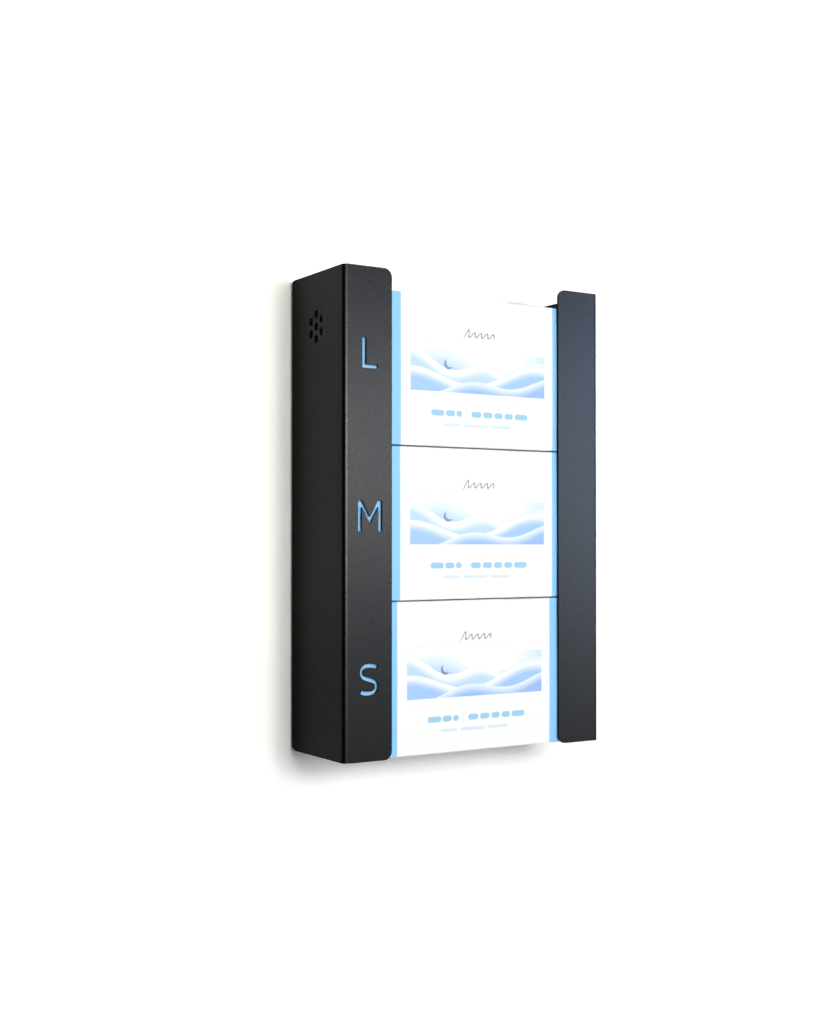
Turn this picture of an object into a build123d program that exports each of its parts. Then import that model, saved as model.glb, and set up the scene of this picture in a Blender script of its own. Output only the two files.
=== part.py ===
"""Wall dispenser for three cartons of disposable gloves: one folded steel holder and its cartons."""

import os

from build123d import *

# Frame: X to the right seen from the front, Y into the wall, Z up, all in millimetres.
# The origin is the centre of the four wall screws, on the wall plane Y = 0.
# Driving dimensions.
SHEET_T = 2.0  # powder-coated steel sheet
BEND_R = 2.3  # inside radius of every bend
FLANGE_W = 44.0  # front flange, measured from the outer face of its side
FLANGE_CORNER_R = 7.0  # free corners of the flanges
RELIEF_W = 2.0  # slits between the shelf's fold and the folds of the sides
RELIEF_SPARE = 0.6  # how far a slit runs past the fold
SHELF_SETBACK = 16.0  # from the front of the holder to the shelf's edge
SHELF_CORNER_R = 8.0

CARTON_W = 240.0
CARTON_D = 78.0
CARTON_H = 125.5
CARTON_SHIFTS = {"small": -0.7, "medium": 2.1, "large": 2.7}  # bottom to top, along X
SIDE_CLEAR = 6.5  # between a carton and each side
FRONT_CLEAR = 1.0  # between the cartons and the flanges
SCREW_HEAD_ROOM = 10.0  # behind the cartons
SPARE_H = 4.5  # height allowed above the size of each carton
RIM_H = 4.0  # sides and flanges above the last carton's room

SCREW_HOLE_D = 5.5
SCREW_SPACING_X = 180.0
SCREW_SPACING_Z = 300.0

LETTER_H = 24.5
L_WIDTH = 14.5
L_STROKE = 3.8
L_FOOT = 2.8
M_WIDTH = 22.2
M_STROKE = 3.5
M_SHOULDER = 4.0  # flat at the top of each leg of the M
M_ARMPIT = 5.0  # depths below the top of the M: between leg and slant,
M_VALLEY = 13.0  # the upper edge of the middle point,
M_POINT = 18.8  # and its lower end
S_WIDTH = 16.8
S_STROKE = 3.1
S_OVERSHOOT = 0.8  # round letter taller than the others
LETTER_OFFSETS = {"S": 1.0, "M": 1.9, "L": 1.9}  # from the flange's middle to its free edge

CLUSTER_HOLE_D = 6.4  # ring of small round holes high on the left side
CLUSTER_PITCH = 10.2
CLUSTER_COUNT = 6
CLUSTER_DROP = 44.0  # from the top of the side to the ring's middle

CARD_T = 0.5
CREASE_R = 0.8
FLAP_EDGE_INSET = 1.0  # end flap's cut edges inside the end of the carton
FLAP_BACK_INSET = 5.0  # end flap's glued edge inside the back of the carton
FLAP_TAPER = 6.0
PERF_W = 153.0  # perforated outline of the tear-out opening
PERF_H = 51.6
PERF_RISE = 0.6  # from the middle of the carton's front up to the middle of the outline
PERF_PITCH = 5.0
PERF_CUT_L = 3.4
PERF_CUT_W = 0.5

# Sizes that follow.
outer_bend_r = BEND_R + SHEET_T
room_h = CARTON_H + SPARE_H
width = CARTON_W + 2 * (SIDE_CLEAR + SHEET_T)
depth = CARTON_D + FRONT_CLEAR + SCREW_HEAD_ROOM + 2 * SHEET_T
height = len(CARTON_SHIFTS) * room_h + RIM_H
bottom = -height / 2
top = height / 2
shelf_half = width / 2 - outer_bend_r - RELIEF_W
relief_h = outer_bend_r + RELIEF_SPARE
carton_front = -depth + SHEET_T + FRONT_CLEAR
tool_margin = 1.0  # how far a cutting tool stands out of the sheet


def lying_at(edge, y=None, x=None, z=None):
    """Whether the middle of an edge has these coordinates, signs of x and z left aside."""
    middle = edge.center()
    pairs = ((middle.Y, y), (abs(middle.X), x), (abs(middle.Z), z))
    return all(wanted is None or abs(value - wanted) < 1e-3 for value, wanted in pairs)


def folded_wall():
    """Back, sides and flanges as one sheet, folded about four upright bends."""
    outside = RectangleRounded(width, depth, outer_bend_r)
    inside = RectangleRounded(width - 2 * SHEET_T, depth - 2 * SHEET_T, BEND_R)
    mouth = Pos(0, -depth / 2) * Rectangle(width - 2 * FLANGE_W, depth)
    section = Pos(0, -depth / 2, bottom) * (outside - inside - mouth)
    return extrude(section, height)


def shelf_relief():
    """What the blank leaves out at the back's lower edge, for the shelf's fold and its two slits."""
    across = 2 * (shelf_half + RELIEF_W)
    upright = relief_h + tool_margin
    middle_z = bottom + relief_h - upright / 2
    return Pos(0, 0, middle_z) * Box(across, 2 * (SHEET_T + tool_margin), upright)


def shelf():
    """Bottom shelf, folded forward from the lower edge of the back."""
    reach = depth - SHELF_SETBACK
    join = bottom + relief_h
    corners = [
        (0, join),
        (0, bottom),
        (-reach, bottom),
        (-reach, bottom + SHEET_T),
        (-SHEET_T, bottom + SHEET_T),
        (-SHEET_T, join),
    ]
    section = make_face(Polyline(*corners, close=True))
    outer_corner = section.vertices().sort_by_distance((0, bottom))[0]
    section = fillet(outer_corner, outer_bend_r)
    inner_corner = section.vertices().sort_by_distance((-SHEET_T, bottom + SHEET_T))[0]
    section = fillet(inner_corner, BEND_R)
    plate = extrude(Plane.YZ * section, shelf_half, both=True)
    free = [edge for edge in plate.edges().filter_by(Axis.Z) if lying_at(edge, y=-reach)]
    return fillet(free, SHELF_CORNER_R)


def letter_l():
    """Outline of the letter L."""
    x, z = L_WIDTH / 2, LETTER_H / 2
    inner_x, inner_z = L_STROKE - x, L_FOOT - z
    points = [(-x, z), (-x, -z), (x, -z), (x, inner_z), (inner_x, inner_z), (inner_x, z)]
    return make_face(Polyline(*points, close=True))


def letter_m():
    """Outline of the letter M, its middle point ending above the baseline."""
    x, z = M_WIDTH / 2, LETTER_H / 2
    inner_x = x - M_STROKE
    half = [(x - M_SHOULDER, z), (x, z), (x, -z), (inner_x, -z), (inner_x, z - M_ARMPIT)]
    other_half = [(-px, pz) for px, pz in reversed(half)]
    points = [(0, z - M_VALLEY), *half, (0, z - M_POINT), *other_half]
    return make_face(Polyline(*points, close=True))


def letter_s():
    """Outline of the letter S: one even stroke along two bowls and the slant between them."""
    x, z = (S_WIDTH - S_STROKE) / 2, (LETTER_H + S_OVERSHOOT - S_STROKE) / 2
    # Points of the stroke's middle line as shares of x and z, each with its direction.
    upper = [((1.1, 0.86), (-1, 0.4)), ((0.12, 1), (-1, 0)), ((-1, 0.5), (0, -1))]
    lower = [((-px, -pz), direction) for (px, pz), direction in reversed(upper)]
    stations = [*upper, ((0, 0), (1, -0.35)), *lower]
    curves = []
    for (start, leaving), (end, arriving) in zip(stations, stations[1:]):
        points = [(px * x, pz * z) for px, pz in (start, end)]
        curves.append(Spline(*points, tangents=(leaving, arriving)))
    return trace(Wire(curves), S_STROKE)


def letters():
    """Cutting tools of the three size letters, one beside each carton's room."""
    cuts = []
    outlines = {"S": letter_s(), "M": letter_m(), "L": letter_l()}
    for number, (letter, outline) in enumerate(outlines.items()):
        letter_x = (FLANGE_W - width) / 2 + LETTER_OFFSETS[letter]
        middle = Pos(letter_x, -depth, bottom + (number + 0.5) * room_h)
        cuts.append(middle * extrude(Plane.XZ * outline, SHEET_T + tool_margin, both=True))
    return cuts


def hole_cluster():
    """Cutting tools of the small round holes in the left side: one, and a ring about it."""
    hole = Cylinder(CLUSTER_HOLE_D / 2, 2 * (SHEET_T + tool_margin))
    ring = [place * hole for place in PolarLocations(CLUSTER_PITCH, CLUSTER_COUNT)]
    middle = Pos(-width / 2, -depth / 2, top - CLUSTER_DROP) * Rot(0, 90, 0)
    return [middle * cut for cut in (hole, *ring)]


def screw_holes():
    """Cutting tools of the four wall screws."""
    hole = Rot(90, 0, 0) * Cylinder(SCREW_HOLE_D / 2, 4 * SHEET_T)
    half_x, half_z = SCREW_SPACING_X / 2, SCREW_SPACING_Z / 2
    return [Pos(x, 0, z) * hole for x in (-half_x, half_x) for z in (-half_z, half_z)]


def holder():
    """The whole folded and cut sheet."""
    sheet = folded_wall() - shelf_relief() + shelf()
    flange_corners = [
        edge for edge in sheet.edges().filter_by(Axis.Y)
        if lying_at(edge, y=-depth + SHEET_T / 2, x=width / 2 - FLANGE_W, z=top)
    ]
    sheet = fillet(flange_corners, FLANGE_CORNER_R)
    return sheet - letters() - hole_cluster() - screw_holes()


def end_recess():
    """What is missing round the outer flap at the right end of a carton."""
    half_h, half_d = CARTON_H / 2, CARTON_D / 2
    edge_z, edge_y = half_h - FLAP_EDGE_INSET, half_d - FLAP_BACK_INSET
    outline = [
        (-half_d, -edge_z),
        (edge_y, FLAP_TAPER - edge_z),
        (edge_y, edge_z - FLAP_TAPER),
        (-half_d, edge_z),
    ]
    face = Rectangle(CARTON_D, CARTON_H) - make_face(Polyline(*outline, close=True))
    return Pos(CARTON_W / 2 - CARD_T, 0, 0) * extrude(Plane.YZ * face, CARD_T)


def perforation():
    """Cutting tools of the short cuts along the outline of the tear-out opening."""
    outline = SlotOverall(PERF_W, PERF_H).face().outer_wire()
    count = round(outline.length / PERF_PITCH)
    cuts = Sketch()
    for number in range(count):
        share = number / count
        place, angle = outline.position_at(share), outline.tangent_angle_at(share)
        cuts += Pos(place.X, place.Y) * Rot(0, 0, angle) * Rectangle(PERF_CUT_L, PERF_CUT_W)
    return Pos(0, -CARTON_D / 2, PERF_RISE) * extrude(Plane.XZ * cuts, CARD_T, both=True)


def carton():
    """One sealed carton of gloves about its own middle, glued flaps at its ends."""
    block = Box(CARTON_W, CARTON_D, CARTON_H)
    creases = block.edges().filter_by(Axis.X)
    creases += block.edges().filter_by(Axis.Z).group_by(Axis.Y)[0]
    block = fillet(creases, CREASE_R)
    recess = end_recess()
    return block - recess - mirror(recess, Plane.YZ) - perforation()


def cartons():
    """The cartons by name, each standing on the one below and the first on the shelf."""
    box = carton()
    middle_y = carton_front + CARTON_D / 2
    stacked = {}
    floor = bottom + SHEET_T
    for size, shift in CARTON_SHIFTS.items():
        stacked["carton_" + size] = Pos(shift, middle_y, floor + CARTON_H / 2) * box
        floor += CARTON_H
    return stacked


os.makedirs("parts", exist_ok=True)
for name, solid in {"holder": holder(), **cartons()}.items():
    export_step(solid, f"parts/{name}.step")
print(f"holder {width:.1f} x {depth:.1f} x {height:.1f} mm")
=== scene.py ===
# %% [markdown]
# # A wall dispenser for three cartons of gloves
#
# The dispenser is one folded sheet of black powder-coated steel with three sealed cartons stacked
# in it. Its construction is already there, at its real size. This notebook gives each piece its
# surface: the rounded edges of a coated sheet, the slight swell of a packed carton, the coating,
# the printed card, and then a white wall, soft lamps and a camera.

# %% Load the construction
import math

import bmesh
import bpy
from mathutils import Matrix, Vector, noise


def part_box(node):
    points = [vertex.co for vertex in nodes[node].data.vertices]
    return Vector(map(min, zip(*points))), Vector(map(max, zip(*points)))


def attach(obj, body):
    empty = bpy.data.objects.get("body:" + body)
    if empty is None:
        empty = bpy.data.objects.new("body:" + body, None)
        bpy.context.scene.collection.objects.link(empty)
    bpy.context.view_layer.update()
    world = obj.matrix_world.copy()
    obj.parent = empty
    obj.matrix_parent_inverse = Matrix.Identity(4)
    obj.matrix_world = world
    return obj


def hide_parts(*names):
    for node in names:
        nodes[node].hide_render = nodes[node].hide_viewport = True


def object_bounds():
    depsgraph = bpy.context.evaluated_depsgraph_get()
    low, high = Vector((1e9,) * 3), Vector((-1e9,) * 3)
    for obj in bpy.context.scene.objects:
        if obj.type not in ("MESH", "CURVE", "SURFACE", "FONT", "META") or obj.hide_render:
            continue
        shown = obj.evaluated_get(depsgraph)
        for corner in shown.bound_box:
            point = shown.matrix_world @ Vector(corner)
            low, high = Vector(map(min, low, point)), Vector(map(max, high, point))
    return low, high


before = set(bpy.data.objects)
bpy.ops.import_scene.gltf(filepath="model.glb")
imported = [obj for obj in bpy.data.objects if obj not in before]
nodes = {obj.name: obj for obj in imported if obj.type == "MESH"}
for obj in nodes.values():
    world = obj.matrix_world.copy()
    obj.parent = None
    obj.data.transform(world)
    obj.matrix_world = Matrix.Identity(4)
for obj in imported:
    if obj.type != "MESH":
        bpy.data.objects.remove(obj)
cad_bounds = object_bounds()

MM = 0.001
print("pieces:", sorted(nodes))
print("whole size, mm:", [round(size / MM, 1) for size in cad_bounds[1] - cad_bounds[0]])

# %% [markdown]
# ## Small tools for building materials
#
# A material is a chain of nodes. Placing each node by hand in code is long, so a few helpers do
# it: one adds a node and fills its inputs, one does a sum, and one starts a node group. A value
# given to an input may be a plain number or the output of another node.

# %% Node helpers


def ink(red, green, blue):
    """A colour as picked on a screen, 0 to 255, in the linear values that shaders use."""
    shares = [value / 255 for value in (red, green, blue)]
    curve = [s / 12.92 if s <= 0.04045 else ((s + 0.055) / 1.055) ** 2.4 for s in shares]
    return (*curve, 1.0)


def feed(tree, value, socket):
    """Gives an input a plain value, or wires another node's output to it."""
    if isinstance(value, bpy.types.NodeSocket):
        tree.links.new(value, socket)
    else:
        socket.default_value = value


def add(tree, kind, inputs=None, **settings):
    """Adds a shader node with its settings and its inputs, by name or number."""
    made = tree.nodes.new("ShaderNode" + kind)
    for key, value in settings.items():
        setattr(made, key, value)
    for key, value in (inputs or {}).items():
        feed(tree, value, made.inputs[key])
    return made


def calc(tree, operation, *values, clamp=False):
    """The result of one Math node."""
    made = add(tree, "Math", operation=operation, use_clamp=clamp)
    for socket, value in zip(made.inputs, values):
        feed(tree, value, socket)
    return made.outputs[0]


def product(tree, *values):
    """Several values multiplied together."""
    whole = values[0]
    for value in values[1:]:
        whole = calc(tree, "MULTIPLY", whole, value)
    return whole


def ramp(tree, value, start, end, low=0.0, high=1.0):
    """Goes smoothly from low at start to high at end; start may be the larger."""
    made = add(tree, "MapRange", {0: value, 1: start, 2: end, 3: low, 4: high},
               interpolation_type="SMOOTHSTEP")
    return made.outputs[0]


def blend(tree, share, first, second):
    """Mixes two colours: the first at share 0, the second at share 1."""
    made = add(tree, "Mix", data_type="RGBA")
    sockets = [s for s in made.inputs if s.enabled]
    for socket, value in zip(sockets, (share, first, second)):
        feed(tree, value, socket)
    return [s for s in made.outputs if s.enabled][0]


def new_group(name, inputs, outputs):
    """A node group with named number, vector or colour sockets; returns tree, input and output."""
    tree = bpy.data.node_groups.new(name, "ShaderNodeTree")
    for socket, kind in inputs.items():
        tree.interface.new_socket(socket, in_out="INPUT", socket_type="NodeSocket" + kind)
    for socket, kind in outputs.items():
        tree.interface.new_socket(socket, in_out="OUTPUT", socket_type="NodeSocket" + kind)
    entry = tree.nodes.new("NodeGroupInput")
    leave = tree.nodes.new("NodeGroupOutput")
    return tree, entry.outputs, leave.inputs


def use_group(tree, group, inputs):
    """Places a node group with its inputs and returns its outputs."""
    made = tree.nodes.new("ShaderNodeGroup")
    made.node_tree = group
    for key, value in inputs.items():
        feed(tree, value, made.inputs[key])
    return made.outputs


def bare_material(name):
    """A material with nothing in it yet; returns it and its tree."""
    material = bpy.data.materials.new(name)
    material.use_nodes = True
    material.node_tree.nodes.clear()
    return material, material.node_tree


def new_material(name):
    """A material with a Principled shader; returns it, its tree and the shader."""
    material, tree = bare_material(name)
    shader = add(tree, "BsdfPrincipled")
    add(tree, "OutputMaterial", {"Surface": shader.outputs[0]})
    return material, tree, shader


print("helpers ready")

# %% [markdown]
# ## Fine grain, shared by coating and card
#
# Powder coating dries with a fine pebbled skin, and coated card shows faint fibres. Both are
# noise at two sizes laid over each other, so one node group serves both materials. It puts out a
# height for bump and a tone for small differences in colour and roughness. Noise on Object
# coordinates has a real size: a scale of 1000 gives grains about a millimetre across.

# %% Grain group


def make_grain():
    """Noise at two sizes, mixed, as a height and as a tone."""
    tree, entry, leave = new_group(
        "fine_grain",
        {"Place": "Vector", "Coarse Scale": "Float", "Fine Scale": "Float", "Fine Share": "Float"},
        {"Height": "Float", "Tone": "Float"},
    )
    coarse = add(tree, "TexNoise", {"Vector": entry["Place"], "Scale": entry["Coarse Scale"],
                                    "Detail": 2.0, "Roughness": 0.5}).outputs[0]
    fine = add(tree, "TexNoise", {"Vector": entry["Place"], "Scale": entry["Fine Scale"],
                                  "Detail": 3.0, "Roughness": 0.6}).outputs[0]
    mixed = add(tree, "Mix", {0: entry["Fine Share"], 2: coarse, 3: fine})
    feed(tree, mixed.outputs[0], leave["Height"])
    tone = calc(tree, "SUBTRACT", calc(tree, "ADD", coarse, fine), 0.5, clamp=True)
    feed(tree, tone, leave["Tone"])
    return tree


grain = make_grain()
print("grain group sockets:", [item.name for item in grain.interface.items_tree])

# %% [markdown]
# ## The coated sheet
#
# On the real holder the steel is cut, folded and then coated, and the powder flows round every
# cut edge, so no edge is razor sharp. The construction has sharp edges. A bevel on a copy of its
# mesh rounds them: the copy's loose triangles are merged, flat neighbours are joined into whole
# faces so that the bevel runs clean, and every edge that turns sharply is bevelled. A Weighted
# Normal modifier then lets the large flat faces decide the shading, so that flats stay flat
# beside a round edge. The sides' back corners are trimmed along a soft arc, as a cut blank has
# them.

# %% Round the coated edges
MERGE_WITHIN = 0.002 * MM
CUT_WITHIN = 1e-7
FLAT_WITHIN = math.radians(0.4)
COAT_EDGE_R = 0.3 * MM
SHARP_TURN, COAT_SMOOTH_BELOW = math.radians(35), math.radians(50)
BEND_OUTER, BEND_MIDDLE = 4.3 * MM, 3.3 * MM  # radii of a bend's outer face and mid-sheet
BELOW_START, BELOW_R = 11.0 * MM, 13.0 * MM  # where a back corner's arc begins, and its radius
ABOVE_START, ABOVE_R = 8.0 * MM, 11.0 * MM
TRIM_MOST = 4.0 * MM
CUT_SHARES = (1.0, 0.85, 0.72, 0.6, 0.5, 0.42)  # of BELOW_START, where the side is cut to bend


def merged_copy(source):
    """A bmesh of a node with its doubles merged and its flat parts joined into whole faces."""
    bm = bmesh.new()
    bm.from_mesh(source.data)
    bmesh.ops.remove_doubles(bm, verts=bm.verts, dist=MERGE_WITHIN)
    bmesh.ops.dissolve_limit(bm, angle_limit=FLAT_WITHIN, verts=bm.verts, edges=bm.edges,
                             use_dissolve_boundaries=False, delimit=set())
    return bm


def cut_across(bm, point, normal):
    """Slices the whole mesh by a plane."""
    everything = bm.verts[:] + bm.edges[:] + bm.faces[:]
    bmesh.ops.bisect_plane(bm, geom=everything, dist=CUT_WITHIN, plane_co=point, plane_no=normal)


def finish_piece(bm, name, smooth_below, node):
    """Makes the bmesh a piece that stands for a node, smooth except where it turns sharply."""
    mesh = bpy.data.meshes.new(name)
    bmesh.ops.triangulate(bm, faces=bm.faces, quad_method="BEAUTY", ngon_method="BEAUTY")
    for face in bm.faces:
        face.smooth = True
    bm.to_mesh(mesh)
    bm.free()
    mesh.set_sharp_from_angle(angle=smooth_below)
    piece = bpy.data.objects.new(name, mesh)
    bpy.context.scene.collection.objects.link(piece)
    evening = piece.modifiers.new("even shading", "WEIGHTED_NORMAL")
    evening.keep_sharp = True
    evening.weight = 100
    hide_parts(node)
    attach(piece, "root")
    print(name, "triangles:", len(mesh.polygons))
    return piece


def along_sheet(x, y, half_wide):
    """How far along the folded sheet a place lies behind the back bend's start."""
    in_bend, behind = abs(x) - (half_wide - BEND_OUTER), y + BEND_OUTER
    if behind <= 0:
        return behind
    if in_bend <= 0:
        return BEND_MIDDLE * math.pi / 2 - in_bend
    return BEND_MIDDLE * math.atan2(behind, in_bend)


def trim(along, start, radius):
    """How much an arc takes off the sheet's edge at a place along it."""
    within = min(max(along - BEND_OUTER + start, 0.0), radius)
    return min(radius - math.sqrt(radius ** 2 - within ** 2), TRIM_MOST)


def round_back_corners(bm, low, high):
    """Trims the sheet's back corners, above and below, along an arc that runs round the bend."""
    for share in CUT_SHARES:
        cut_across(bm, (0, -BELOW_START * share, 0), (0, 1, 0))
    for vert in bm.verts:
        along = along_sheet(vert.co.x, vert.co.y, high.x)
        vert.co.z = min(vert.co.z, high.z - trim(along, ABOVE_START, ABOVE_R))
        if abs(vert.co.x) > high.x - BEND_OUTER - MM:
            vert.co.z = max(vert.co.z, low.z + trim(along, BELOW_START, BELOW_R))


def coated_sheet():
    """The folded sheet with rounded back corners and rounded cut edges."""
    bm = merged_copy(nodes["holder"])
    round_back_corners(bm, *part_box("holder"))
    turning = [e for e in bm.edges if len(e.link_faces) == 2 and e.calc_face_angle() > SHARP_TURN]
    bmesh.ops.bevel(bm, geom=turning, offset=COAT_EDGE_R, offset_type="OFFSET", segments=2,
                    profile=0.5, affect="EDGES", clamp_overlap=True, material=-1)
    return finish_piece(bm, "coated_sheet", COAT_SMOOTH_BELOW, "holder")


sheet = coated_sheet()

# %% [markdown]
# ## Black powder coating
#
# Satin black coating is nearly black itself; what the eye sees is the soft reflection of lamps
# and wall on its pebbled skin. So the colour is very dark, the reflection is soft and weak, and a
# bump of a few hundredths of a millimetre breaks it up.

# %% Powder coating
COAT_GRAIN = {"Coarse Scale": 900.0, "Fine Scale": 2200.0, "Fine Share": 0.45}
COAT_RELIEF = 0.02 * MM
COAT_DARKEST, COAT_PALEST = (0.0006, 0.0006, 0.0007, 1), (0.0016, 0.0016, 0.0017, 1)
COAT_ROUGHNESS = (0.26, 0.32)
COAT_SPECULAR = 0.06


def grained(tree, place, settings, relief):
    """The grain group and a bump from it; returns the grain's tone and the bent normal."""
    skin = use_group(tree, grain, {"Place": place, **settings})
    bump = add(tree, "Bump", {"Height": skin["Height"], "Distance": relief, "Strength": 1.0})
    return skin["Tone"], bump.outputs[0]


def powder_coat():
    """Nearly black satin coating with a pebbled skin."""
    material, tree, shader = new_material("black_powder_coat")
    place = add(tree, "TexCoord").outputs["Object"]
    tone, normal = grained(tree, place, COAT_GRAIN, COAT_RELIEF)
    feed(tree, blend(tree, tone, COAT_DARKEST, COAT_PALEST), shader.inputs["Base Color"])
    feed(tree, ramp(tree, tone, 0.2, 0.8, *COAT_ROUGHNESS), shader.inputs["Roughness"])
    feed(tree, normal, shader.inputs["Normal"])
    shader.inputs["Specular IOR Level"].default_value = COAT_SPECULAR
    return material


sheet.data.materials.append(powder_coat())
print("coated:", sheet.data.materials[0].name)

# %% [markdown]
# ## The sealed cartons
#
# A glove carton is one blank of thin card, folded into a tube and glued shut at both ends. Packed
# gloves press its front outwards, so the large front panel is never quite flat. The construction
# has the flat shape with its creases, end flaps and the cuts round the tear-out opening. A copy
# of it is sliced with bisect planes into small fields, and then each corner moves by a smooth
# rule: a swell that is zero at the creases and largest in the middle, and a slow waviness of the
# card. The heavy cartons also sag at the front, where the shelf stops short of them, each crease
# by its own amount, because folded card never meets flush: the narrow gaps are the dark lines
# between the cartons. On the top carton the lid's flap stands up a little along the front crease.

# %% Swell the cartons
FIELD = 9.0 * MM
FRONT_SWELL = 0.6 * MM
TOP_SWELL = 0.8 * MM
WAVINESS = 0.12 * MM
WAVE_SIZE = 45.0 * MM
SAG_REACH = 75.0  # mm to the left and right of the middle, where the sags below are given
SAGS = {  # in mm, of the front creases: bottom left, bottom right, top left, top right
    "carton_small": (-1.2, -0.8, -1.63, -1.2),
    "carton_medium": (-0.53, -0.13, -1.07, -0.56),
    "carton_large": (0.08, 0.59, -1.01, -0.65),
}
SHELF_FRONT = -78.0 * MM
FLAP_SPAN, FLAP_LIFT = (28.0, 38.0, 80.0), 1.7 * MM  # start, crest and end in mm
CARD_SMOOTH_BELOW = math.radians(28)
# Where a panel begins, as a share of half the carton's depth or height.
FRONT_PANEL, FRONT_CREASE, LID, UNDERSIDE = -0.97, -0.9, 0.98, -0.99


def slice_fields(bm, low, high):
    """Cuts the whole mesh by planes across X and Z, so that flat panels can bend."""
    for axis in (0, 2):
        count = round((high[axis] - low[axis]) / FIELD)
        for number in range(1, count):
            point = Vector((0, 0, 0))
            point[axis] = low[axis] + (high[axis] - low[axis]) * number / count
            normal = Vector((0, 0, 0))
            normal[axis] = 1
            cut_across(bm, point, normal)


def arch(share):
    """One in the middle of a panel and zero at its edges, for a share from -1 to 1."""
    return max(0.0, 1 - share * share) ** 1.3


def sag(sags, x, up):
    """How far the front of a carton is lifted at x, in metres, up running from -1 to 1."""
    right = 0.5 + x / MM / SAG_REACH / 2
    bottom = sags[0] + (sags[1] - sags[0]) * right
    top = sags[2] + (sags[3] - sags[2]) * right
    return (bottom + (top - bottom) * (up + 1) / 2) * MM


def flap_lift(x):
    """How far the lid's flap stands up along the front crease."""
    start, crest, end = (value * MM for value in FLAP_SPAN)
    rise, fall = (x - start) / (crest - start), (end - x) / (end - crest)
    return FLAP_LIFT * max(0.0, min(rise, fall, 1.0))


def swollen_carton(node, on_shelf, last_on_top):
    """A packed carton: sliced, swollen and sagging."""
    low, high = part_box(node)
    middle, half = (low + high) / 2, (high - low) / 2
    bm = merged_copy(nodes[node])
    slice_fields(bm, low, high)
    cut_across(bm, (0, SHELF_FRONT, 0), (0, 1, 0))
    for vert in bm.verts:
        across, deep, up = ((vert.co[i] - middle[i]) / half[i] for i in range(3))
        wave = noise.noise(vert.co / WAVE_SIZE) * WAVINESS
        panel = arch(across) * arch(up)
        if deep < FRONT_PANEL:
            vert.co.y += (wave - FRONT_SWELL) * panel
        if last_on_top and up > LID:
            vert.co.z += (TOP_SWELL + wave) * arch(across) * arch(deep)
        uneven = WAVINESS * noise.noise((vert.co + low) / WAVE_SIZE)
        lift = sag(SAGS[node], vert.co.x, up) + uneven
        held = on_shelf and up < 0 and vert.co.y > SHELF_FRONT - 0.1 * MM
        vert.co.z += 0.0 if held and up < UNDERSIDE else lift * (1 - deep) / 2
        if last_on_top and up > LID and deep < FRONT_CREASE:
            vert.co.z += flap_lift(vert.co.x)
    return finish_piece(bm, "packed_" + node, CARD_SMOOTH_BELOW, node)


cartons = {node: swollen_carton(node, node == "carton_small", node == "carton_large")
           for node in ("carton_small", "carton_medium", "carton_large")}

# %% [markdown]
# ## Printed card
#
# The print is worked out from a place on the carton, in millimetres from its middle, so each
# carton has the same artwork wherever it stands. Every shape is a mask between 0 and 1: a box
# mask is the product of two smooth steps, a ring or pill is a step on a distance. Masks then pick
# between inks.

# %% Print masks


def box_mask(tree, x, z, middle, size, soft=0.35):
    """One inside an upright rectangle, with edges softened over a fraction of a millimetre."""
    across = calc(tree, "ABSOLUTE", calc(tree, "SUBTRACT", x, middle[0]))
    along = calc(tree, "ABSOLUTE", calc(tree, "SUBTRACT", z, middle[1]))
    inside_x = ramp(tree, across, size[0] / 2 + soft / 2, size[0] / 2 - soft / 2)
    inside_z = ramp(tree, along, size[1] / 2 + soft / 2, size[1] / 2 - soft / 2)
    return calc(tree, "MULTIPLY", inside_x, inside_z)


def pill_mask(tree, x, z, middle, size, soft=0.35):
    """One inside a bar with round ends."""
    reach = max(size[0] - size[1], 0) / 2
    across = calc(tree, "ABSOLUTE", calc(tree, "SUBTRACT", x, middle[0]))
    beyond = calc(tree, "MAXIMUM", calc(tree, "SUBTRACT", across, reach), 0.0)
    along = calc(tree, "SUBTRACT", z, middle[1])
    square = calc(tree, "ADD", calc(tree, "MULTIPLY", beyond, beyond),
                  calc(tree, "MULTIPLY", along, along))
    distance = calc(tree, "SQRT", square)
    return ramp(tree, distance, size[1] / 2 + soft / 2, size[1] / 2 - soft / 2)


def any_of(tree, masks):
    """The largest of several masks."""
    whole = masks[0]
    for mask in masks[1:]:
        whole = calc(tree, "MAXIMUM", whole, mask)
    return whole


print("masks ready")

# %% [markdown]
# ## The banner
#
# Across the tear-out opening runs a banner in soft blues. Here it is a plain landscape of dunes.
# A dune is everything below a slow wavy line: it starts pale at its crest and deepens to blue
# below, as an airbrushed print does, and each later dune covers the ones behind it. A dark
# crescent is the one small accent.

# %% Banner group


def crest_line(tree, x, length, height, drift, slope, level):
    """The height of a wavy line at x."""
    turn = calc(tree, "MULTIPLY_ADD", x, 2 * math.pi / length, drift)
    crest = calc(tree, "MULTIPLY_ADD", calc(tree, "SINE", turn), height, level)
    return calc(tree, "MULTIPLY_ADD", x, slope, crest)


def disc_mask(tree, x, z, middle, radius, soft=0.4):
    """One inside a circle."""
    return pill_mask(tree, x, z, middle, (2 * radius, 2 * radius), soft)


DUNES = (
    # length, height, drift, slope, level, depth of fade, crest ink, body ink
    (104.0, 7.0, 3.9, -0.05, 9.0, 17.0, ink(226, 238, 254), ink(176, 207, 250)),
    (76.0, 5.5, 0.9, -0.16, 2.5, 11.0, ink(255, 255, 255), ink(184, 213, 252)),
    (128.0, 8.0, 5.0, 0.05, -2.0, 10.0, ink(252, 254, 255), ink(152, 192, 240)),
    (88.0, 4.0, 2.2, 0.10, -10.5, 9.0, ink(226, 238, 254), ink(140, 180, 236)),
)
SKY_LEFT, SKY_RIGHT = ink(250, 253, 255), ink(206, 228, 252)
MOON, BITE, MOON_INK = ((-31.0, 6.0), 4.4), ((-29.2, 7.6), 4.2), ink(104, 132, 178)


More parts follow.
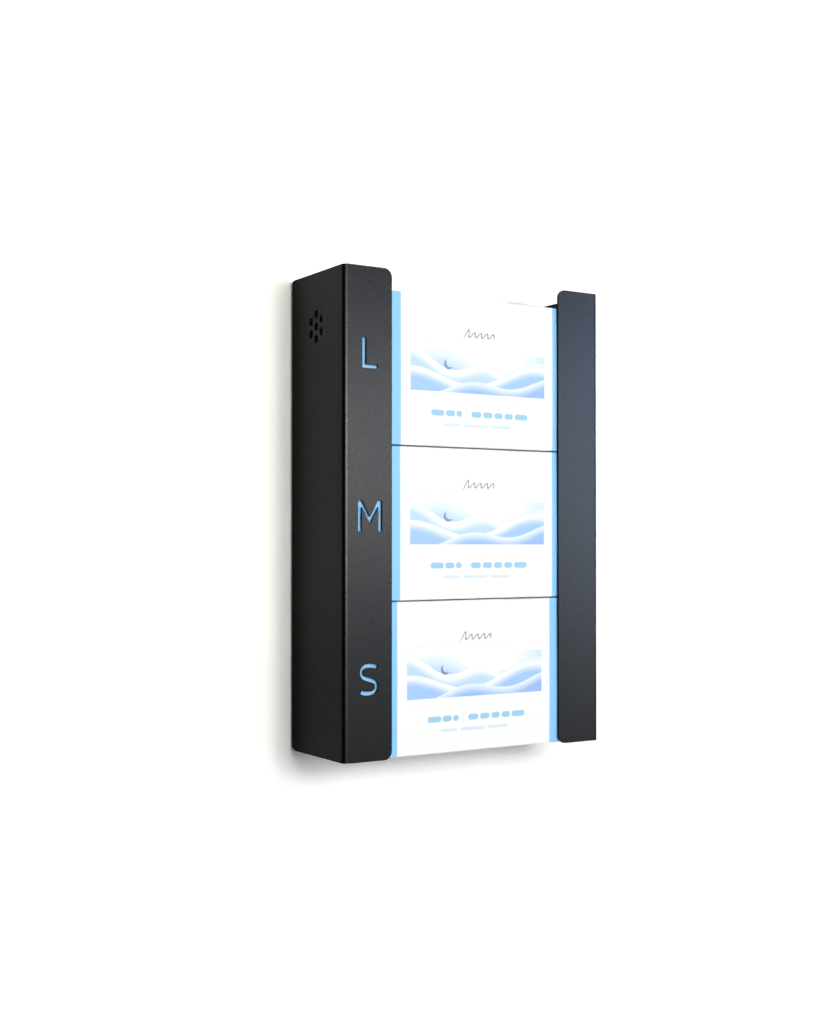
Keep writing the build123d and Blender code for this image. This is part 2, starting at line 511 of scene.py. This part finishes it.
def make_banner():
    """The banner's colour at a place in millimetres from the carton's middle."""
    tree, entry, leave = new_group("banner", {"X": "Float", "Z": "Float"}, {"Color": "Color"})
    x, z = entry["X"], entry["Z"]
    colour = blend(tree, ramp(tree, x, 30.0, 70.0), SKY_LEFT, SKY_RIGHT)
    for *shape, depth, crest_ink, body_ink in DUNES:
        below = calc(tree, "SUBTRACT", crest_line(tree, x, *shape), z)
        body = blend(tree, ramp(tree, below, 0.0, depth), crest_ink, body_ink)
        colour = blend(tree, ramp(tree, below, -0.5, 0.5), colour, body)
    moon, bite = (disc_mask(tree, x, z, *disc) for disc in (MOON, BITE))
    colour = blend(tree, calc(tree, "SUBTRACT", moon, bite, clamp=True), colour, MOON_INK)
    feed(tree, colour, leave["Color"])
    return tree


banner = make_banner()
print("banner nodes:", len(banner.nodes))

# %% [markdown]
# ## The whole print
#
# Blue ends, a white field between them, the banner, a small grey flourish above it and two rows
# of pills below it where a maker would set words. A faint line joins the cuts round the tear-out
# opening. Top and bottom carry the blue ends and a pair of bars. The ink is rubbed thin along the
# creases, where pale card shows through. A grey band along the top front crease, right of the
# middle, is painted shade.

# %% Flourish
PEN_LEAN, PEN_TURN, PEN_START = -0.42, 0.98, 0.9


def flourish_mask(tree, x, z):
    """One on a slanted pen line that starts with a tall swing and runs on in small waves."""
    leaning = calc(tree, "MULTIPLY_ADD", z, PEN_LEAN, x)
    height = ramp(tree, leaning, -13.5, -8.5, 4.4, 1.9)
    turn = calc(tree, "MULTIPLY_ADD", leaning, PEN_TURN, PEN_START)
    off_line = calc(tree, "SUBTRACT", z, product(tree, calc(tree, "SINE", turn), height))
    steep = product(tree, calc(tree, "COSINE", turn), height, PEN_TURN)
    length = calc(tree, "SQRT", calc(tree, "MULTIPLY_ADD", steep, steep, 1.0))
    distance = calc(tree, "DIVIDE", calc(tree, "ABSOLUTE", off_line), length)
    return product(tree, ramp(tree, distance, 0.85, 0.3),
                   box_mask(tree, leaning, z, (0.8, 0.0), (30.5, 11.0), 1.5))


print("flourish waves, mm:", round(2 * math.pi / PEN_TURN, 1))

# %% Places and inks of the print, in millimetres from the carton's middle
CARTON_HALF = (120.0, 39.0, 62.75)
WHITE_FIELD_HALF = 77.1
BANNER_BOX = (0.2, 0.7), (136.2, 35.8)
TEAR_OUT_SIZE, TEAR_OUT_RISE, TEAR_OUT_LINE = (153.0, 51.6), 0.6, 0.5
FLOURISH_RISE = 32.0
ROW_Z, ROW_TALL = -34.6, 4.8
ROW_PILLS = ((-41.5, 13.0), (-29.0, 9.0), (-20.3, 5.6), (-3.0, 10.0), (8.8, 9.5), (19.8, 8.5),
             (30.4, 8.5), (43.3, 13.4))  # middle and length of each
SMALL_Z, SMALL_TALL = -44.2, 2.4
SMALL_PILLS = ((-27.0, 16.0), (-3.5, 24.0), (22.0, 20.0))
DIVIDER = (-13.2, -34.4), (0.7, 9.5)
LID_BARS = ((0.0, 3.0), (64.0, 5.6)), ((0.0, -6.0), (44.0, 2.6))
# where the painted shade on the top front crease lies, in mm
CREASE_SHADE_BOX = (52.0, 63.6), (44.0, 3.6)

BLUE = ink(127, 198, 250)
PALE_GREY = ink(218, 229, 238)
WORD_BLUE = ink(150, 200, 228)
MARK_GREY = ink(138, 146, 150)
TEAR_LINE = ink(242, 232, 231)
CARD_WHITE = ink(246, 247, 247)
# ink of the painted shade on the top front crease
PAINTED_CREASE_SHADE = ink(208, 212, 212)
BARE_CARD = ink(238, 236, 230)
print("banner covers", round(BANNER_BOX[1][0] / CARTON_HALF[0] / 2, 2), "of the carton's length")

# %% Print group


def front_print(tree, x, y, z):
    """The front panel's print and painted crease shade; returns its colour and the banner's mask.
    """
    front = ramp(tree, y, -37.5, -38.3)
    row = any_of(tree, [pill_mask(tree, x, z, (at, ROW_Z), (long, ROW_TALL))
                        for at, long in ROW_PILLS])
    small = any_of(tree, [pill_mask(tree, x, z, (at, SMALL_Z), (long, SMALL_TALL))
                          for at, long in SMALL_PILLS])
    pale = any_of(tree, [small, box_mask(tree, x, z, *DIVIDER)])
    flourish = flourish_mask(tree, x, calc(tree, "SUBTRACT", z, FLOURISH_RISE))
    off_z = calc(tree, "SUBTRACT", z, TEAR_OUT_RISE)
    outer, inner = (pill_mask(tree, x, off_z, (0, 0), [size + spare for size in TEAR_OUT_SIZE])
                    for spare in (TEAR_OUT_LINE, -TEAR_OUT_LINE))
    tear = calc(tree, "SUBTRACT", outer, inner, clamp=True)
    picture = product(tree, box_mask(tree, x, z, *BANNER_BOX), front)
    dunes = use_group(tree, banner, {"X": x, "Z": z})["Color"]

    colour = blend(tree, picture, CARD_WHITE, dunes)
    for mask, shade in ((row, WORD_BLUE), (pale, PALE_GREY), (flourish, MARK_GREY),
                        (tear, TEAR_LINE)):
        colour = blend(tree, product(tree, mask, front), colour, shade)
    # painted shade: a grey band along the top front crease, strongest at its left end
    painted_crease_shade = product(tree, box_mask(tree, x, z, *CREASE_SHADE_BOX, 1.4), ramp(tree, x, 90.0, 30.0),
                     ramp(tree, y, -37.0, -38.6))
    return blend(tree, painted_crease_shade, colour, PAINTED_CREASE_SHADE), picture


def rubbed_creases(tree, place, x, y, z):
    """How far the ink is rubbed off: along all creases, in patches."""
    gap_x, gap_y, gap_z = (calc(tree, "SUBTRACT", half, calc(tree, "ABSOLUTE", value))
                           for half, value in zip(CARTON_HALF, (x, y, z)))
    nearest = calc(tree, "MINIMUM", calc(tree, "MAXIMUM", gap_y, gap_z),
                   calc(tree, "MINIMUM", calc(tree, "MAXIMUM", gap_x, gap_y),
                        calc(tree, "MAXIMUM", gap_x, gap_z)))
    patchy = add(tree, "TexNoise", {"Vector": place, "Scale": 160.0, "Detail": 4.0}).outputs[0]
    return product(tree, ramp(tree, nearest, 0.9, 0.2), ramp(tree, patchy, 0.35, 0.65), 0.6)


def make_print():
    """The carton's print at a place: its colour, where ink lies, and where it is rubbed."""
    tree, entry, leave = new_group("carton_print", {"Place": "Vector"},
                                   {"Color": "Color", "Inked": "Float", "Worn": "Float"})
    scaled = add(tree, "VectorMath", {0: entry["Place"], 3: 1 / MM}, operation="SCALE")
    x, y, z = add(tree, "SeparateXYZ", {0: scaled.outputs[0]}).outputs
    colour, picture = front_print(tree, x, y, z)
    lid = ramp(tree, calc(tree, "ABSOLUTE", z), 61.6, 62.3)
    bars = any_of(tree, [pill_mask(tree, x, y, *bar) for bar in LID_BARS])
    colour = blend(tree, product(tree, lid, bars), colour, WORD_BLUE)
    end = ramp(tree, calc(tree, "ABSOLUTE", x), WHITE_FIELD_HALF - 0.5, WHITE_FIELD_HALF + 0.5)
    colour = blend(tree, end, colour, BLUE)
    worn = rubbed_creases(tree, entry["Place"], x, y, z)
    feed(tree, blend(tree, worn, colour, BARE_CARD), leave["Color"])
    feed(tree, any_of(tree, [end, picture]), leave["Inked"])
    feed(tree, worn, leave["Worn"])
    return tree


artwork = make_print()
print("print nodes:", len(artwork.nodes))

# %% [markdown]
# ## Printed card as a material
#
# Coated card is a dull sheen over faint fibres: inked card is a little glossier than bare card,
# and rubbed creases are duller. The print group is centred on each carton by a Mapping node,
# which also follows the sag, so that the artwork moves with the card.

# %% Card material
CARD_GRAIN = {"Coarse Scale": 350.0, "Fine Scale": 1600.0, "Fine Share": 0.4}
CARD_RELIEF = 0.015 * MM
FIBRE_SHADE, FIBRE_SHARE = (0.55, 0.6, 0.7, 1), 0.03
CARD_ROUGHNESS, INK_SMOOTHS, WEAR_DULLS = 0.56, -0.06, 0.3
CARD_SPECULAR = 0.2


def printed_card(name, middle):
    """Printed card for one carton about its own middle."""
    material, tree, shader = new_material(name)
    place = add(tree, "TexCoord").outputs["Object"]
    centred = add(tree, "Mapping", {"Vector": place, "Location": [-value for value in middle]})
    art = use_group(tree, artwork, {"Place": centred.outputs[0]})
    tone, normal = grained(tree, centred.outputs[0], CARD_GRAIN, CARD_RELIEF)
    shade = blend(tree, calc(tree, "MULTIPLY", tone, FIBRE_SHARE), art["Color"], FIBRE_SHADE)
    feed(tree, shade, shader.inputs["Base Color"])
    gloss = calc(tree, "MULTIPLY_ADD", art["Inked"], INK_SMOOTHS, CARD_ROUGHNESS)
    dull = calc(tree, "MULTIPLY_ADD", art["Worn"], WEAR_DULLS, gloss)
    feed(tree, dull, shader.inputs["Roughness"])
    feed(tree, normal, shader.inputs["Normal"])
    shader.inputs["Specular IOR Level"].default_value = CARD_SPECULAR
    return material


for node, piece in cartons.items():
    low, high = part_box(node)
    sagged = Vector((0, 0, sum(SAGS[node]) / 4 * MM))
    piece.data.materials.append(printed_card("printed_" + node, (low + high) / 2 + sagged))
print("printed:", [piece.data.materials[0].name for piece in cartons.values()])

# %% [markdown]
# ## The wall
#
# The dispenser hangs on a white wall that takes its shadow. The paint gives back a plain amount
# of light but looks a little whiter to the eye, so that the lit wall is clean white. Left of the
# dispenser's lower part the paint is made a touch grey, and left of and just under it a touch
# warm: painted shade that deepens and warms the cast shadow there. From behind the wall is clear,
# so that the back of the holder can be looked at as well.

# %% Wall
WALL_X, WALL_Z, WALL_DEPTH = (-0.42, 2.4), (-1.2, 1.6), -0.3 * MM
WALL_WHITE, WALL_SEEN = 0.9, 1.19
# painted shade beside the dispenser: how much greyer the seen paint is low down, and how much less
# blue
PAINTED_SHADE_LOW, PAINTED_SHADE_WARMTH = 0.055, 0.07  # what the paint lacks beside the dispenser: light, and blue


def upright_sheet(x_span, y, z_span):
    """A bmesh of one upright rectangle that faces forwards."""
    bm = bmesh.new()
    (left, right), (bottom, top) = x_span, z_span
    corners = (left, y, bottom), (right, y, bottom), (right, y, top), (left, y, top)
    bm.faces.new([bm.verts.new(corner) for corner in corners])
    return bm


def staged(bm, name, material):
    """Makes the bmesh an object with the material, not attached to the dispenser's body."""
    mesh = bpy.data.meshes.new(name)
    bm.to_mesh(mesh)
    bm.free()
    mesh.materials.append(material)
    made = bpy.data.objects.new(name, mesh)
    bpy.context.scene.collection.objects.link(made)
    print(name, "faces", [round(part) for part in mesh.polygons[0].normal])
    return made


def seen_directly(tree):
    """One for camera, glossy and transmission rays, zero for the rays that gather light."""
    path = add(tree, "LightPath")
    return calc(tree, "MAXIMUM", path.outputs["Is Camera Ray"],
                calc(tree, "MAXIMUM", path.outputs["Is Glossy Ray"],
                     path.outputs["Is Transmission Ray"]))


def wall_paint(white, white_seen):
    """Matt paint, one whiteness for the light it throws back and another to the eye, with painted
    shade.
    """
    material, tree = bare_material("wall_paint")
    x, _, z = add(tree, "SeparateXYZ", {0: add(tree, "TexCoord").outputs["Object"]}).outputs
    # painted shade: the seen paint is greyer left of the dispenser's lower part, and warmer left
    # of and under it
    beside = product(tree, ramp(tree, x, -0.18, -0.15), ramp(tree, z, -0.25, -0.224))
    low = product(tree, beside, ramp(tree, x, -0.105, -0.13), ramp(tree, z, -0.08, -0.17))
    seen = calc(tree, "MULTIPLY_ADD", low, -PAINTED_SHADE_LOW * white_seen, white_seen)
    whiteness = add(tree, "MapRange", {0: seen_directly(tree), 3: white, 4: seen}).outputs[0]
    painted_warm_shade = product(tree, beside, ramp(tree, x, 0.02, -0.14), ramp(tree, z, -0.205, -0.185))
    blueness = product(tree, whiteness, calc(tree, "MULTIPLY_ADD", painted_warm_shade, -PAINTED_SHADE_WARMTH, 1.0))
    colour = add(tree, "CombineColor", {0: whiteness, 1: whiteness, 2: blueness}).outputs[0]
    paint = add(tree, "BsdfDiffuse", {"Color": colour}).outputs[0]
    clear = add(tree, "BsdfTransparent").outputs[0]
    behind = add(tree, "NewGeometry").outputs["Backfacing"]
    shown = add(tree, "MixShader", {0: behind, 1: paint, 2: clear}).outputs[0]
    add(tree, "OutputMaterial", {"Surface": shown})
    return material


staged(upright_sheet(WALL_X, WALL_DEPTH, WALL_Z), "wall", wall_paint(WALL_WHITE, WALL_SEEN))

# %% [markdown]
# ## Lamps
#
# A black satin sheet and a white card can't be lit well by one lamp: what lifts the card to white
# draws a glare on the coat. So the work is shared out. Two front lamps give the level of the
# light and the wall's shadow, and reflections don't see them. The strips and the veil are seen by
# reflections only, and draw the sheen that fades along the flanges. One more lamp serves the
# back.

# %% Lamps


def direction(azimuth, elevation):
    """Where a lamp stands as seen from the dispenser: azimuth to the right of straight ahead."""
    a, e = math.radians(azimuth), math.radians(elevation)
    return Vector((math.sin(a) * math.cos(e), -math.cos(a) * math.cos(e), math.sin(e)))


def soft_lamp(name, azimuth, elevation, distance, wide, tall, share, colour=(1, 1, 1)):
    """A soft box of so many degrees that gives its share of plain light, 1 being all of it."""
    data = bpy.data.lights.new(name, "AREA")
    data.shape = "RECTANGLE"
    data.size = 2 * distance * math.tan(math.radians(wide / 2))
    data.size_y = 2 * distance * math.tan(math.radians(tall / 2))
    data.energy = share * (math.pi * distance) ** 2
    data.color = colour
    lamp = bpy.data.objects.new(name, data)
    lamp.location = direction(azimuth, elevation) * distance
    lamp.rotation_euler = (-lamp.location).to_track_quat("-Z", "Y").to_euler()
    lamp.visible_camera = False
    bpy.context.scene.collection.objects.link(lamp)
    return lamp


# name, azimuth, elevation, distance, width and height in degrees, share, colour
LEVEL_LAMPS = (
    ("front_low", 8, 4.6, 4, 9.8, 13, 0.32),
    ("front_high", -4.3, 13.5, 4, 23.2, 9.3, 0.40),
)
SHEEN_LAMPS = (
    ("strip_left", -24.5, 4.3, 3, 32, 9.5, 3.5),
    ("strip_right", 12.9, 4.8, 3, 43, 9.5, 1.7),
    ("cool_strip", 45, 4.7, 3, 9, 19, 0.73, (0.6, 0.78, 1.0)),
    ("blue_top", 45, 10.0, 3, 9, 12, 0.16, (0.03, 0.2, 1.0)),
    ("low_right", 44, -7.0, 3, 10, 10, 0.06, (1.0, 0.8, 0.8)),
    ("veil", 14, 3, 3.4, 90, 44, 1.6, (0.82, 0.92, 1.0)),
)
for values in LEVEL_LAMPS:
    soft_lamp(*values).visible_glossy = False
for values in SHEEN_LAMPS:
    soft_lamp(*values).visible_diffuse = False
soft_lamp("back_fill", 170, 20, 3, 30, 30, 0.5)
print("lamps:", len(bpy.data.lights))

# %% [markdown]
# ## World
#
# The world is plain white to the eye and in reflections, and gives a weaker, even fill to the
# light that is gathered, so that the shadow stays readable.

# %% World
WORLD_FILL = 0.28

world = bpy.data.worlds.new("studio")
bpy.context.scene.world = world
world.use_nodes = True
tree = world.node_tree
tree.nodes.clear()
strength = add(tree, "MapRange", {0: seen_directly(tree), 3: WORLD_FILL, 4: 1.0}).outputs[0]
sky = add(tree, "Background", {"Color": (1, 1, 1, 1), "Strength": strength})
add(tree, "OutputWorld", {"Surface": sky.outputs[0]})
print("fill:", WORLD_FILL)

# %% [markdown]
# ## Flags
#
# A studio hangs black cloth where a shiny thing should reflect darkness. The dark flag is a shell
# round the front and left of the stage: it keeps the white world out of the coat's reflections.
# The side flag is a gauze over the wall beside the holder, because the left side reflects that
# wall: it passes less next to the holder and low down, as a shaded wall does. Only reflections
# see either.

# %% Dark flag
FLAG_R, FLAG_SEGMENTS, FLAG_RINGS = 4.6, 90, 24
FLAG_FROM, FLAG_TO = -112, 92  # degrees of azimuth that the shell covers


def for_reflections_only(piece):
    """Hides a piece of the stage from everything but reflections."""
    for ray in ("camera", "diffuse", "shadow", "transmission"):
        setattr(piece, "visible_" + ray, False)


def dark_flag():
    """A black shell round the front and left of the studio."""
    bm = bmesh.new()
    bmesh.ops.create_uvsphere(bm, u_segments=FLAG_SEGMENTS, v_segments=FLAG_RINGS, radius=FLAG_R)
    behind = [v for v in bm.verts
              if not FLAG_FROM < math.degrees(math.atan2(v.co.x, -v.co.y)) < FLAG_TO]
    bmesh.ops.delete(bm, geom=behind, context="VERTS")
    material, tree = bare_material("flag_cloth")
    cloth = add(tree, "BsdfDiffuse", {"Color": (0.002, 0.002, 0.002, 1)})
    add(tree, "OutputMaterial", {"Surface": cloth.outputs[0]})
    for_reflections_only(staged(bm, "flag", material))


dark_flag()

# %% Side flag
SIDE_X = cad_bounds[0].x
GAUZE_DEPTH, GAUZE_Z = -1.0 * MM, (-0.4, 0.4)


def side_flag():
    """A grey gauze over the wall beside the holder: painted shade on that wall in the side's
    reflection.
    """
    material, tree = bare_material("gauze")
    x, _, z = add(tree, "SeparateXYZ", {0: add(tree, "TexCoord").outputs["Object"]}).outputs
    beside = calc(tree, "SUBTRACT", SIDE_X, x)
    near = add(tree, "MapRange", {0: beside, 1: 0.0, 2: 0.017, 3: 0.3, 4: 1.0}).outputs[0]
    lower = ramp(tree, z, -0.03, -0.165, 0.94, 0.68)
    upper = ramp(tree, z, 0.13, 0.19, 1.0, 1.12)
    passing = product(tree, near, lower, upper, ramp(tree, x, -0.27, -0.21))
    clear = add(tree, "BsdfTransparent").outputs[0]
    black = add(tree, "BsdfDiffuse", {"Color": (0.0, 0.0, 0.0, 1)}).outputs[0]
    gauze = add(tree, "MixShader", {0: passing, 1: black, 2: clear}).outputs[0]
    add(tree, "OutputMaterial", {"Surface": gauze})
    sheet_over_wall = upright_sheet((WALL_X[0], SIDE_X), GAUZE_DEPTH, GAUZE_Z)
    for_reflections_only(staged(sheet_over_wall, "side_flag", material))


side_flag()

# %% [markdown]
# ## Camera
#
# The camera stands to the left of the dispenser and looks at it from a little over a metre, so
# that the left side and the front both show and the far side is slightly smaller. The picture
# plane is shifted rather than tilted, which keeps upright edges almost parallel.

# %% Camera
CAMERA_PLACE = (-0.66071, -1.04394, -0.02656)
CAMERA_TURN, CAMERA_TILT = -32.0404, 0.6812
LENS = 48.7115
RISE = 18.35 / 1024  # shift of the picture plane, as a share of the picture's longer side
SENSOR_WIDTH = 36.0

camera_data = bpy.data.cameras.new("camera")
camera_data.sensor_width = SENSOR_WIDTH
camera_data.lens = LENS
camera_data.shift_y = RISE
camera = bpy.data.objects.new("camera", camera_data)
camera.location = CAMERA_PLACE
camera.rotation_euler = (math.radians(90 + CAMERA_TILT), 0, math.radians(CAMERA_TURN))
bpy.context.scene.collection.objects.link(camera)
bpy.context.scene.camera = camera
bpy.context.scene.view_settings.view_transform = "Standard"
print("camera", round(camera.location.length, 2), "m from the dispenser, lens", LENS, "mm")
